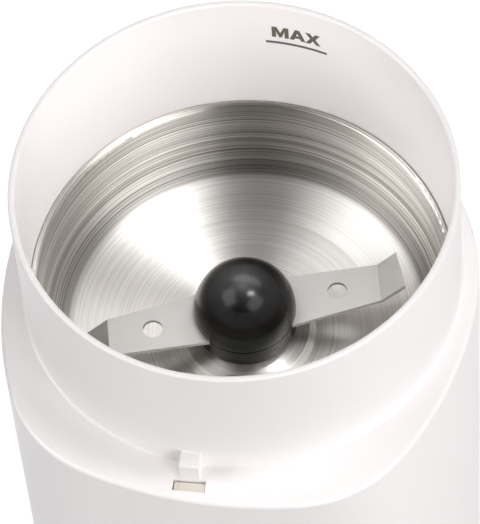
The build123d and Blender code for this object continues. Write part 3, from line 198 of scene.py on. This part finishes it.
def turned_lines_group():
    """Fine lines round the Z axis: noise of (radius, height), drawn out along the angle.

    Shade is the lines' brightness about 0.5, Patch a slow change round the axis, and Normal the relief.
    """
    group, given, out = new_group(
        "turned_lines",
        {"Pitch": 0.4 * mm, "Streak": 3.0, "Relief": 0.2},
        {"Shade": "NodeSocketFloat", "Patch": "NodeSocketFloat", "Normal": "NodeSocketVector"},
    )
    place = put(group, "ShaderNodeTexCoord")
    apart = put(group, "ShaderNodeSeparateXYZ")
    link(group, place.outputs["Object"], apart.inputs[0])
    x, y, z = apart.outputs
    x_squared = math_node(group, "MULTIPLY", x, x)
    y_squared = math_node(group, "MULTIPLY", y, y)
    radius = math_node(group, "SQRT", math_node(group, "ADD", x_squared, y_squared))
    safe_radius = math_node(group, "MAXIMUM", radius, axis_radius)
    cosine = math_node(group, "DIVIDE", x, safe_radius)
    sine = math_node(group, "DIVIDE", y, safe_radius)
    across = put(group, "ShaderNodeCombineXYZ")
    link(group, math_node(group, "DIVIDE", radius, given.outputs["Pitch"]), across.inputs[0])
    link(group, math_node(group, "DIVIDE", z, given.outputs["Pitch"]), across.inputs[1])
    link(group, math_node(group, "MULTIPLY", cosine, given.outputs["Streak"]), across.inputs[2])
    lines = put(group, "ShaderNodeTexNoise", noise_dimensions="4D", Scale=1.0, Detail=2.0, Roughness=0.6)
    link(group, across.outputs[0], lines.inputs["Vector"])
    link(group, math_node(group, "MULTIPLY", sine, given.outputs["Streak"]), lines.inputs["W"])
    slow = put(group, "ShaderNodeCombineXYZ")
    link(group, math_node(group, "MULTIPLY", radius, patch_scale), slow.inputs[0])
    link(group, math_node(group, "MULTIPLY", z, patch_scale), slow.inputs[1])
    link(group, math_node(group, "MULTIPLY", cosine, patch_streak), slow.inputs[2])
    patches = put(group, "ShaderNodeTexNoise", noise_dimensions="4D", Scale=1.0, Detail=2.0)
    link(group, slow.outputs[0], patches.inputs["Vector"])
    link(group, math_node(group, "MULTIPLY", sine, patch_streak), patches.inputs["W"])
    relief = put(group, "ShaderNodeBump", Distance=0.02 * mm)
    link(group, given.outputs["Relief"], relief.inputs["Strength"])
    link(group, lines.outputs["Fac"], relief.inputs["Height"])
    link(group, lines.outputs["Fac"], out.inputs["Shade"])
    link(group, patches.outputs["Fac"], out.inputs["Patch"])
    link(group, relief.outputs["Normal"], out.inputs["Normal"])
    return group


def moulded_skin_group():
    """Moulded plastic's skin: slow sink waves for the normal and a faint cloud for colour and gloss.

    Cloud is noise about 0.5, and Normal holds the waves with a fine grain laid on them.
    """
    group, given, out = new_group(
        "moulded_skin",
        {"Wave Scale": 40.0, "Wave": 0.02, "Grain Scale": 2500.0, "Grain": 0.02},
        {"Cloud": "NodeSocketFloat", "Normal": "NodeSocketVector"},
    )
    place = put(group, "ShaderNodeTexCoord")
    cloud = put(group, "ShaderNodeTexNoise", Detail=2.0)
    link(group, place.outputs["Object"], cloud.inputs["Vector"])
    link(group, given.outputs["Wave Scale"], cloud.inputs["Scale"])
    grain = put(group, "ShaderNodeTexNoise", Detail=1.0)
    link(group, place.outputs["Object"], grain.inputs["Vector"])
    link(group, given.outputs["Grain Scale"], grain.inputs["Scale"])
    waves = put(group, "ShaderNodeBump", Distance=0.5 * mm)
    link(group, given.outputs["Wave"], waves.inputs["Strength"])
    link(group, cloud.outputs["Fac"], waves.inputs["Height"])
    skin = put(group, "ShaderNodeBump", Distance=0.05 * mm)
    link(group, given.outputs["Grain"], skin.inputs["Strength"])
    link(group, grain.outputs["Fac"], skin.inputs["Height"])
    link(group, waves.outputs["Normal"], skin.inputs["Normal"])
    link(group, cloud.outputs["Fac"], out.inputs["Cloud"])
    link(group, skin.outputs["Normal"], out.inputs["Normal"])
    return group


turned_lines = turned_lines_group()
moulded_skin = moulded_skin_group()


def place_group(tree, group, **values):
    """One use of a node group with its own values."""
    node = tree.nodes.new("ShaderNodeGroup")
    node.node_tree = group
    for key, value in values.items():
        node.inputs[key.replace("_", " ")].default_value = value
    return node


def ramp(tree, value, start, end, low=0.0, high=1.0):
    """Goes smoothly from low to high as a value goes from start to end."""
    node = put(
        tree,
        "ShaderNodeMapRange",
        interpolation_type="SMOOTHSTEP",
        From_Min=start,
        From_Max=end,
        To_Min=low,
        To_Max=high,
    )
    link(tree, value, node.inputs["Value"])
    return node.outputs["Result"]


def spread(tree, noise, low, high):
    """Maps a noise, which stays mostly within its two marks, to a value from low to high."""
    return ramp(tree, noise, noise_low, noise_high, low, high)


def spread_about(tree, noise, value, change):
    """Maps a noise to a value that changes by a share of itself to either side."""
    return spread(tree, noise, value * (1 - change), value * (1 + change))


def tint(tree, fac, first, second):
    """Mixes two colours by a factor; each is a red, a green and a blue, or an output socket."""
    node = put(tree, "ShaderNodeMix", data_type="RGBA")
    link(tree, fac, node.inputs["Factor"])
    for socket, colour in ((node.inputs[mix_first], first), (node.inputs[mix_second], second)):
        if isinstance(colour, bpy.types.NodeSocket):
            link(tree, colour, socket)
        else:
            socket.default_value = (*colour, 1.0)
    return node.outputs[mix_result]


def plastic(name, colour, roughness, variation=0.03, level=0.5, wave=0.02, grain=0.02, grain_scale=2500.0):
    """Moulded plastic: colour with a faint cloud, its gloss, and the skin's relief."""
    material, tree, shader = new_tree(name)
    skin = place_group(tree, moulded_skin, Wave=wave, Grain=grain, Grain_Scale=grain_scale)
    cloud = skin.outputs["Cloud"]
    lighter = [min(1.0, c * (1 + variation)) for c in colour]
    darker = [c * (1 - variation) for c in colour]
    link(tree, tint(tree, spread(tree, cloud, 0.0, 1.0), darker, lighter), shader.inputs["Base Color"])
    link(tree, spread_about(tree, cloud, roughness, plastic_change), shader.inputs["Roughness"])
    link(tree, skin.outputs["Normal"], shader.inputs["Normal"])
    shader.inputs["IOR"].default_value = plastic_ior
    shader.inputs["Specular IOR Level"].default_value = level
    return material


def turned_metal(name, dark, light, roughness, pitch, relief):
    """Metal finished round the Z axis, such as a turned shaft."""
    material, tree, shader = new_tree(name)
    lines = place_group(tree, turned_lines, Pitch=pitch, Relief=relief, Streak=turned_streak)
    shade = lines.outputs["Shade"]
    link(tree, tint(tree, spread(tree, shade, 0.0, 1.0), dark, light), shader.inputs["Base Color"])
    patch = roughness * patch_change
    rough = math_node(
        tree,
        "ADD",
        spread_about(tree, shade, roughness, line_change),
        spread(tree, lines.outputs["Patch"], -patch, patch),
    )
    link(tree, rough, shader.inputs["Roughness"])
    link(tree, lines.outputs["Normal"], shader.inputs["Normal"])
    shader.inputs["Metallic"].default_value = 1.0
    return material


def drawn_bowl_steel():
    """The bowl's steel, brushed round its axis, with a wall tinted darker than the floor as painted shade.

    The wall's share rises from 0 to 1 above the edge of the floor, and the lip's share above the wall. The
    wall's tint darkens towards its foot as painted shade, and the lip is smoother.
    """
    material, tree, shader = new_tree("bowl_steel")
    place = put(tree, "ShaderNodeTexCoord")
    apart = put(tree, "ShaderNodeSeparateXYZ")
    link(tree, place.outputs["Object"], apart.inputs[0])
    height = apart.outputs[2]
    lip = ramp(tree, height, lip_foot, lip_foot + lip_blend)
    lines = place_group(tree, turned_lines, Pitch=bowl_pitch, Streak=bowl_streak)
    smoothing = math_node(tree, "MULTIPLY", lip, bowl_relief - lip_relief)
    link(tree, math_node(tree, "SUBTRACT", bowl_relief, smoothing), lines.inputs["Relief"])
    shade = spread(tree, lines.outputs["Shade"], 0.0, 1.0)
    wall = ramp(tree, height, bowl_edge, bowl_edge + edge_blend)
    # painted shade: the wall's tint darkens from this ramp's top down to its foot
    clear = ramp(tree, height, bowl_edge, foot_shade_top)
    shaded_wall_tint = tint(tree, clear, tint(tree, shade, *foot_shade_tints), tint(tree, shade, *wall_shade_tints))
    # the wall's tints are darker than the floor's: painted shade
    steel_tint = tint(tree, wall, tint(tree, shade, *floor_tints), shaded_wall_tint)
    link(tree, steel_tint, shader.inputs["Base Color"])
    polish = math_node(tree, "MULTIPLY", lip, lip_polish)
    rough = math_node(
        tree, "SUBTRACT", spread(tree, lines.outputs["Shade"], bowl_smooth, bowl_rough), polish
    )
    link(tree, rough, shader.inputs["Roughness"])
    link(tree, lines.outputs["Normal"], shader.inputs["Normal"])
    shader.inputs["Metallic"].default_value = 1.0
    shader.inputs["Anisotropic"].default_value = bowl_anisotropy
    shader.inputs["Anisotropic Rotation"].default_value = bowl_anisotropy_turn
    tangent = put(tree, "ShaderNodeTangent", direction_type="RADIAL", axis="Z")
    link(tree, tangent.outputs[0], shader.inputs["Tangent"])
    return material


def worked_metal(
    name, dark, light, roughness, scale=600.0, stretch=(1.0, 1.0, 1.0), relief=0.1, metallic=1.0
):
    """Cast, sheet or drawn metal: noise stretched along the way that the piece was worked."""
    material, tree, shader = new_tree(name)
    place = put(tree, "ShaderNodeTexCoord")
    turn = put(tree, "ShaderNodeMapping")
    turn.inputs["Scale"].default_value = stretch
    link(tree, place.outputs["Object"], turn.inputs["Vector"])
    noise = put(tree, "ShaderNodeTexNoise", Scale=scale, Detail=4.0, Roughness=0.6)
    link(tree, turn.outputs[0], noise.inputs["Vector"])
    grain = noise.outputs["Fac"]
    relief_node = put(tree, "ShaderNodeBump", Strength=relief, Distance=0.05 * mm)
    link(tree, grain, relief_node.inputs["Height"])
    link(tree, tint(tree, spread(tree, grain, 0.0, 1.0), dark, light), shader.inputs["Base Color"])
    link(tree, spread_about(tree, grain, roughness, worked_change), shader.inputs["Roughness"])
    link(tree, relief_node.outputs["Normal"], shader.inputs["Normal"])
    shader.inputs["Metallic"].default_value = metallic
    return material


finishes = {
    "white_shell": plastic(
        "white_shell", (0.905, 0.875, 0.872), 0.33, variation=0.004, level=0.35, wave=0.0, grain=0.0
    ),
    "white_cover": plastic("white_cover", (0.80, 0.79, 0.77), 0.45, grain=0.25),
    "bowl_steel": drawn_bowl_steel(),
    "blade_steel": worked_metal(
        "blade_steel", (0.52, 0.51, 0.495), (0.58, 0.57, 0.555), 0.62,
        scale=900.0, stretch=(0.25, 1.0, 1.0), relief=0.03,
    ),
    "hub_black": plastic("hub_black", (0.004, 0.004, 0.004), 0.20, level=0.32, wave=0.0, grain=0.0),
    "plunger_cream": plastic("plunger_cream", (0.80, 0.76, 0.66), 0.40, grain=0.1),
    "button_grey": plastic("button_grey", (0.52, 0.52, 0.51), 0.30, grain=0.15),
    "dark_rubber": plastic(
        "dark_rubber", (0.035, 0.035, 0.036), 0.75, variation=0.15, grain=0.5, grain_scale=1500.0
    ),
    "silicone_white": plastic("silicone_white", (0.80, 0.79, 0.77), 0.6, grain=0.2),
    "carrier_grey": plastic("carrier_grey", (0.16, 0.16, 0.165), 0.5, grain=0.3),
    "zinc_steel": worked_metal("zinc_steel", (0.50, 0.50, 0.47), (0.64, 0.64, 0.62), 0.35),
    "bracket_alloy": worked_metal(
        "bracket_alloy", (0.50, 0.50, 0.50), (0.66, 0.66, 0.65), 0.5, scale=350.0, relief=0.3
    ),
    "sintered_bronze": worked_metal(
        "sintered_bronze", (0.35, 0.23, 0.12), (0.50, 0.34, 0.19), 0.55, scale=900.0
    ),
    "lamination_steel": worked_metal(
        "lamination_steel", (0.14, 0.14, 0.145), (0.26, 0.26, 0.265), 0.5,
        scale=2000.0, stretch=(0.02, 0.02, 1.0), relief=0.6,
    ),
    "coil_copper": worked_metal(
        "coil_copper", (0.34, 0.12, 0.05), (0.56, 0.24, 0.11), 0.35,
        scale=1600.0, stretch=(1.0, 0.05, 0.05), relief=0.8,
    ),
    "commutator_copper": turned_metal(
        "commutator_copper", (0.50, 0.24, 0.12), (0.66, 0.34, 0.19), 0.3, pitch=0.3 * mm, relief=0.2
    ),
    "holder_brass": worked_metal("holder_brass", (0.52, 0.38, 0.15), (0.64, 0.50, 0.23), 0.35),
    "carbon": worked_metal(
        "carbon", (0.02, 0.02, 0.02), (0.045, 0.045, 0.045), 0.55, metallic=0.0, relief=0.3
    ),
    "spring_steel": worked_metal("spring_steel", (0.38, 0.38, 0.38), (0.52, 0.52, 0.52), 0.3),
    "fan_plastic": plastic("fan_plastic", (0.10, 0.10, 0.11), 0.45, grain=0.2),
    "switch_black": plastic("switch_black", (0.03, 0.03, 0.032), 0.4, grain=0.3),
    "pin_red": plastic("pin_red", (0.40, 0.05, 0.04), 0.4),
    "capacitor_yellow": plastic("capacitor_yellow", (0.65, 0.50, 0.10), 0.3, wave=0.1),
    "shaft_steel": turned_metal(
        "shaft_steel", (0.52, 0.52, 0.52), (0.68, 0.68, 0.67), 0.25, pitch=0.25 * mm, relief=0.1
    ),
}
for part in frame["record"]["subparts"]:
    mesh = nodes[part["node"]].data
    mesh.materials.clear()
    mesh.materials.append(finishes[part["material_slot"]])


def on_collar_wall(points):
    """Bends flat points onto the collar's bore: x runs round the wall, y up it, z out of it.

    A point's angle is the mark's angle less x over the bore's radius, because the wall is read from inside.
    """
    angle = mark_angle - points[:, 0] / collar_bore
    radius = collar_bore - points[:, 2]
    return np.stack([radius * np.cos(angle), radius * np.sin(angle), points[:, 1]], axis=1)


def fill_line_mesh():
    """The fill line: a rectangle's section carried along the arc, with closed ends."""
    steps = mark_line_steps
    along = np.linspace(-mark_line_length / 2, mark_line_length / 2, steps + 1)
    half = mark_line_width / 2
    section = np.array([(-half, -mark_print), (half, -mark_print), (half, mark_print), (-half, mark_print)])
    grid = np.empty((steps + 1, 4, 3))
    grid[:, :, 0] = along[:, None]
    grid[:, :, 1] = mark_line_height + section[:, 0]
    grid[:, :, 2] = section[:, 1]
    corner = np.arange(steps)[:, None] * 4 + np.arange(4)
    following = np.arange(steps)[:, None] * 4 + (np.arange(4) + 1) % 4
    sides = np.stack([corner, corner + 4, following + 4, following], axis=-1).reshape(-1, 4)
    ends = np.array([[0, 1, 2, 3], [4 * steps + 3, 4 * steps + 2, 4 * steps + 1, 4 * steps]])
    mesh = bpy.data.meshes.new("fill_line")
    mesh.from_pydata(on_collar_wall(grid.reshape(-1, 3)).tolist(), [], np.concatenate([sides, ends]).tolist())
    return mesh


def fill_word_mesh():
    """The word over the fill line: each outline as a thin slab between two faces, bent onto the wall."""
    wide = max(point[0] for outline in letter_outlines for point in outline)
    points, faces = [], []
    for outline in letter_outlines:
        count, first = len(outline), len(points)
        for depth in (-mark_print, mark_print):
            for across, up in outline:
                along = (across / wide - 0.5) * mark_letters_width
                points.append((along, mark_letters_height + up * mark_letters_tall, depth))
        faces.append([first + k for k in range(count)])
        faces.append([first + count + k for k in reversed(range(count))])
        for k in range(count):
            following = (k + 1) % count
            faces.append([first + following, first + k, first + count + k, first + count + following])
    mesh = bpy.data.meshes.new("fill_word")
    mesh.from_pydata(on_collar_wall(np.array(points)).tolist(), [], faces)
    return mesh


mark_ink = plastic("mark_ink", (0.115, 0.105, 0.085), 0.5, variation=0.1)
for mark_mesh in (fill_line_mesh(), fill_word_mesh()):
    mark_mesh.materials.append(mark_ink)
    mark = bpy.data.objects.new(mark_mesh.name, mark_mesh)
    bpy.context.scene.collection.objects.link(mark)
    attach(mark, "housing")


def spring_mesh(name, seat, across, side, up, radius, length, turns):
    """A coil spring: a circle of wire carried along a helix that stands on its seat, with closed ends.

    At a share t of the wire, the angle is t times the turns, and the height rises with t from end to end.
    """
    steps, sides = coil_steps * turns, wire_sides
    turn = np.linspace(0, 2 * math.pi * turns, steps + 1)[:, None]
    height = np.linspace(spring_wire, length - spring_wire, steps + 1)[:, None]
    outward = np.cos(turn) * across + np.sin(turn) * side
    forward = radius * (np.cos(turn) * side - np.sin(turn) * across) + height[-1] / turn[-1] * up
    forward /= np.linalg.norm(forward, axis=1, keepdims=True)
    upward = np.cross(outward, forward)
    spot = np.linspace(0, 2 * math.pi, sides + 1)[:-1, None]
    section = np.cos(spot) * outward[:, None, :] + np.sin(spot) * upward[:, None, :]
    grid = (seat + height * up + radius * outward)[:, None, :] + spring_wire * section
    corner = np.arange(steps)[:, None] * sides + np.arange(sides)
    following = np.arange(steps)[:, None] * sides + (np.arange(sides) + 1) % sides
    faces = np.stack([corner, following, following + sides, corner + sides], axis=-1).reshape(-1, 4).tolist()
    faces += [list(range(sides))[::-1], [steps * sides + k for k in range(sides)]]
    mesh = bpy.data.meshes.new(name)
    mesh.from_pydata(grid.reshape(-1, 3).tolist(), [], faces)
    mesh.polygons.foreach_set("use_smooth", [True] * len(mesh.polygons))
    return mesh


def closing_spring(node, turns, side, up):
    """A coil spring in place of a node, standing on its seat."""
    low, high = (np.array(corner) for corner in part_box(node))
    middle, half = (low + high) / 2, (high - low) / 2
    across, side, up = np.array((1.0, 0.0, 0.0)), np.array(side), np.array(up)
    length = 2 * abs(half @ up)
    seat = middle - length / 2 * up
    mesh = spring_mesh("closing_" + node, seat, across, side, up, half[0] - spring_wire, length, turns)
    mesh.materials.append(finishes["spring_steel"])
    spring = bpy.data.objects.new(mesh.name, mesh)
    bpy.context.scene.collection.objects.link(spring)
    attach(spring, "housing")
    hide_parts(node)
    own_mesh(spring)


closing_spring(
    "plunger_spring", plunger_turns,
    side=(0.0, 1.0, 0.0), up=(0.0, 0.0, 1.0),
)
closing_spring(
    "button_spring", button_turns,
    side=(0.0, 0.0, 1.0), up=(0.0, -1.0, 0.0),
)


def studio_floor():
    """A pale round floor that keeps shadows and reads as white paper to the camera and in mirrors."""
    mesh = bpy.data.meshes.new("studio_floor")
    turn = np.linspace(0, 2 * math.pi, floor_sides + 1)[:-1]
    height = np.full(floor_sides, -floor_gap)
    points = np.stack([np.cos(turn) * floor_radius, np.sin(turn) * floor_radius, height], axis=1)
    mesh.from_pydata(points.tolist(), [], [list(range(floor_sides))])
    floor = bpy.data.objects.new("studio_floor", mesh)
    bpy.context.scene.collection.objects.link(floor)
    material = bpy.data.materials.new("floor_paper")
    material.use_nodes = True
    tree = material.node_tree
    tree.nodes.clear()
    rays = put(tree, "ShaderNodeLightPath")
    paper = put(tree, "ShaderNodeBsdfDiffuse")
    paper.inputs["Color"].default_value = floor_white
    glow = put(tree, "ShaderNodeEmission")
    mirrored = math_node(tree, "MAXIMUM", rays.outputs["Is Glossy Ray"], rays.outputs["Is Transmission Ray"])
    seen = math_node(tree, "MULTIPLY", rays.outputs["Is Camera Ray"], floor_glow)
    mirror_glow = math_node(tree, "MULTIPLY", mirrored, floor_mirror)
    link(tree, math_node(tree, "ADD", seen, mirror_glow), glow.inputs["Strength"])
    both = put(tree, "ShaderNodeAddShader")
    link(tree, paper.outputs[0], both.inputs[0])
    link(tree, glow.outputs[0], both.inputs[1])
    output = put(tree, "ShaderNodeOutputMaterial")
    link(tree, both.outputs[0], output.inputs["Surface"])
    mesh.materials.append(material)


def studio_world():
    """Surroundings: white to the camera and softer as light; in mirrors, a white room with an unlit side.

    The room's brightness falls from bright to dark as a direction's cosine to the unlit side rises.
    """
    world = bpy.data.worlds.new("studio")
    bpy.context.scene.world = world
    world.use_nodes = True
    tree = world.node_tree
    tree.nodes.clear()
    rays = put(tree, "ShaderNodeLightPath")
    mirrored = math_node(tree, "MAXIMUM", rays.outputs["Is Glossy Ray"], rays.outputs["Is Transmission Ray"])
    seen = math_node(tree, "MULTIPLY", rays.outputs["Is Camera Ray"], 1.0 - world_light)
    place = put(tree, "ShaderNodeTexCoord")
    toward = put(tree, "ShaderNodeVectorMath", operation="DOT_PRODUCT")
    link(tree, place.outputs["Generated"], toward.inputs[0])
    toward.inputs[1].default_value = room_dark_side
    room = ramp(
        tree,
        toward.outputs["Value"],
        room_dark_edge,
        room_dark_core,
        room_bright - world_light,
        room_dark - world_light,
    )
    mirror_change = math_node(tree, "MULTIPLY", mirrored, room)
    strength = math_node(tree, "ADD", math_node(tree, "ADD", seen, mirror_change), world_light)
    sky = put(tree, "ShaderNodeBackground")
    link(tree, strength, sky.inputs["Strength"])
    output = put(tree, "ShaderNodeOutputWorld")
    link(tree, sky.outputs[0], output.inputs["Surface"])


def soft_light(name, place, width, length, power):
    """A softbox that faces the collar. Returns its object."""
    data = bpy.data.lights.new(name, "AREA")
    data.shape = "RECTANGLE"
    data.size, data.size_y = width, length
    data.energy = power
    lamp = bpy.data.objects.new(name, data)
    bpy.context.scene.collection.objects.link(lamp)
    lamp.location = place
    toward = Vector((0.0, 0.0, aim_height)) - Vector(place)
    lamp.rotation_euler = toward.to_track_quat("-Z", "Y").to_euler()
    return lamp


def collar_light():
    """A faint lamp in the mouth of the bowl: the light that the steel throws back at the collar's wall."""
    data = bpy.data.lights.new("collar", "POINT")
    data.energy = collar_lamp_power
    data.shadow_soft_size = collar_lamp_radius
    lamp = bpy.data.objects.new("collar", data)
    bpy.context.scene.collection.objects.link(lamp)
    lamp.location = (0.0, 0.0, collar_lamp_height)
    lamp.visible_camera = False
    lamp.visible_glossy = False


def standing_light(name, azimuth, elevation, size, power):
    """A square softbox on a stand. Returns its object.

    The azimuth runs from the front to the right; both angles are in degrees.
    """
    turn, tilt = math.radians(azimuth), math.radians(elevation)
    reach = lamp_distance * math.cos(tilt)
    height = aim_height + lamp_distance * math.sin(tilt)
    return soft_light(name, (reach * math.sin(turn), -reach * math.cos(turn), height), size, size, power)


def photograph_camera():
    """The camera, built from its right, up and backward directions."""
    a, e = camera_azimuth, camera_elevation
    back = Vector((math.sin(a) * math.cos(e), -math.cos(a) * math.cos(e), math.sin(e)))
    right = Vector((math.cos(a), math.sin(a), 0.0))
    place = Vector((0.0, 0.0, rim_height)) + camera_distance * back
    aim = (math.tan(aim_right) * right - back + math.tan(aim_up) * right.cross(-back)).normalized()
    level = aim.cross(Vector((0.0, 0.0, 1.0))).normalized()
    upright = level.cross(aim)
    across = math.cos(camera_roll) * level + math.sin(camera_roll) * upright
    up = math.cos(camera_roll) * upright - math.sin(camera_roll) * level
    data = bpy.data.cameras.new("photograph")
    data.lens = camera_lens
    data.clip_start, data.clip_end = clip_near, clip_far
    camera = bpy.data.objects.new("photograph", data)
    bpy.context.scene.collection.objects.link(camera)
    turn = Matrix((across, up, -aim)).transposed().to_4x4()
    camera.matrix_world = Matrix.Translation(place) @ turn
    bpy.context.scene.camera = camera


studio_floor()
studio_world()
standing_light("front_right", azimuth=45, elevation=22, size=0.7, power=9.3)
standing_light("right", azimuth=95, elevation=22, size=0.7, power=2.4)
standing_light("left", azimuth=-70, elevation=28, size=0.7, power=7.1)
standing_light("behind", azimuth=180, elevation=10, size=0.7, power=3.2).visible_glossy = False
soft_light("top", place=(0.32, 0.12, 1.32), width=0.16, length=0.26, power=4.2)
collar_light()
for panel in (  # white panels that only metal and gloss show
    soft_light("back_panel", place=(0.0, 0.80, 1.0), width=1.2, length=0.5, power=4.6),
    standing_light("left_panel", azimuth=-72, elevation=52, size=0.8, power=5.2),
    standing_light("right_panel", azimuth=66, elevation=52, size=0.8, power=5.2),
):
    panel.visible_camera = False
    panel.visible_diffuse = False
photograph_camera()
bpy.context.scene.view_settings.view_transform = "Standard"
